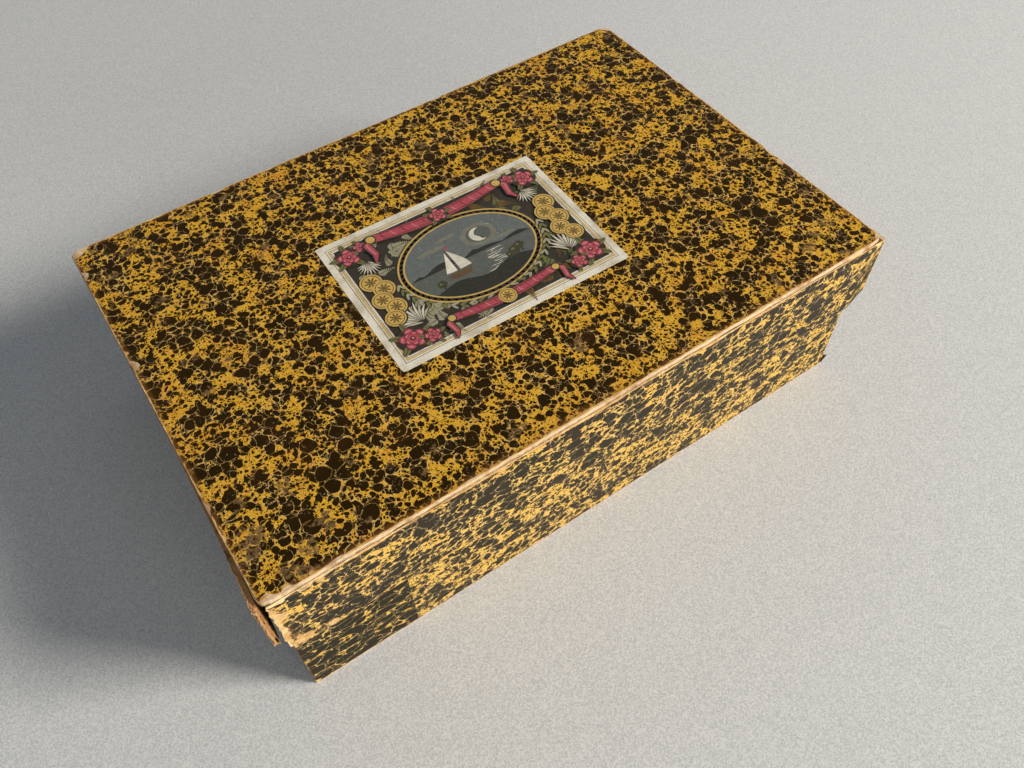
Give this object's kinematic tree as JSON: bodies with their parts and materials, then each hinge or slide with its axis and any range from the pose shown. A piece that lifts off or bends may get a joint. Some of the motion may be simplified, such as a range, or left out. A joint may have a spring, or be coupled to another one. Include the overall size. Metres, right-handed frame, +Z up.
{
  "type": "boxed toy magic lantern",
  "caption": "Shallow pasteboard box in marbled paper with a lift-off lid and a picture label; inside, a tin magic lantern, oil lamp, chimney and glass slides in bays.",
  "frame": {"origin": "centre of the closed box's outline, on the surface that it stands on", "axes": "+X along the long side towards the right end, -Y towards the front, +Z up, the way the lid lifts"},
  "size_m": [0.3052, 0.2, 0.0931],
  "materials": {
    "board": "bare pasteboard, worn and brown at the edges",
    "marbled_paper": "spot-marbled paper, black on ochre, matt and rubbed",
    "lining_paper": "matt cream lining paper",
    "linen": "glued linen strip",
    "label": "colour-printed paper, lightly varnished",
    "card": "grey-brown machine card",
    "wood": "plain softwood",
    "glass": "clear glass with a slight green tint",
    "slide_paper": "glazed red paper edging",
    "japanned_tin": "gloss black japanning on tinplate",
    "red_tin": "gloss red paint on tinplate",
    "brass": "lacquered brass, dulled",
    "tinplate": "bright tinplate",
    "wick_cotton": "woven cotton"
  },
  "bodies": {
    "base": {"base_bottom_paper": "lining_paper", "base_bottom_board": "board", "base_front_wall": "board", "base_back_wall": "board", "base_left_wall": "board", "base_right_wall": "board", "base_paper_left": "marbled_paper", "base_paper_right": "marbled_paper", "base_corner_stays": "linen", "base_floor_lining": "lining_paper", "cross_partition": "card", "long_partition": "card", "lamp_partition": "card", "slide_shelf": "card", "shelf_runners": "wood", "slide_comb_left": "wood", "slide_comb_right": "wood", "glass_slides": "glass", "slide_edgings": "slide_paper", "lantern_base": "red_tin", "lantern_body": "japanned_tin", "lantern_roof": "red_tin", "chimney_collar": "japanned_tin", "stage_rails": "japanned_tin", "stage_plate": "japanned_tin", "stage_springs": "brass", "condenser_lens": "glass", "condenser_ring": "brass", "lens_mount": "brass", "door_hinge_pin": "brass", "chimney_pipe": "japanned_tin", "chimney_cowl": "red_tin", "lamp_font": "brass", "filler_cap": "brass", "burner": "brass", "wick_tube": "brass", "lamp_glass": "glass", "lamp_reflector": "tinplate"},
    "lid": {"lid_top_board": "board", "lid_front_apron": "board", "lid_back_apron": "board", "lid_left_apron": "board", "lid_right_apron": "board", "lid_top_paper": "marbled_paper", "lid_front_paper": "marbled_paper", "lid_back_paper": "marbled_paper", "lid_left_paper": "marbled_paper", "lid_right_paper": "marbled_paper", "lid_lining": "lining_paper", "lid_corner_stays": "linen", "picture_label": "label"},
    "focus_tube": {"draw_tube": "brass", "objective_lens": "glass", "objective_ring": "brass"},
    "door": {"rear_door": "red_tin", "door_knob": "brass"},
    "wick_drive": {"wick_spindle": "brass", "wick_knob": "brass"},
    "wick": {"wick": "wick_cotton"}
  },
  "joints": [
    {"name": "lid_lift", "type": "slide", "parent": "base", "child": "lid", "axis": [0, 0, 1], "range_m": [0, 0.15]},
    {"name": "lens_focus", "type": "slide", "parent": "base", "child": "focus_tube", "axis": [0, -1, 0], "range_m": [0, 0.012]},
    {"name": "door_swing", "type": "hinge", "parent": "base", "child": "door", "pos_m": [-0.0893, 0.0235, 0.0619], "axis": [1, 0, 0], "range_deg": [0, 110]},
    {"name": "wick_turn", "type": "hinge", "parent": "base", "child": "wick_drive", "pos_m": [0.0147, 0.05292, 0.0272], "axis": [-1, 0, 0], "range_deg": [0, 154.3]},
    {"name": "wick_lift", "type": "slide", "parent": "base", "child": "wick", "axis": [0, 0, 1], "range_m": [0, 0.007]}
  ],
  "couplings": [
    {"joint": "wick_turn", "follows": "wick_lift", "rad_per_m": 384.62}
  ]
}
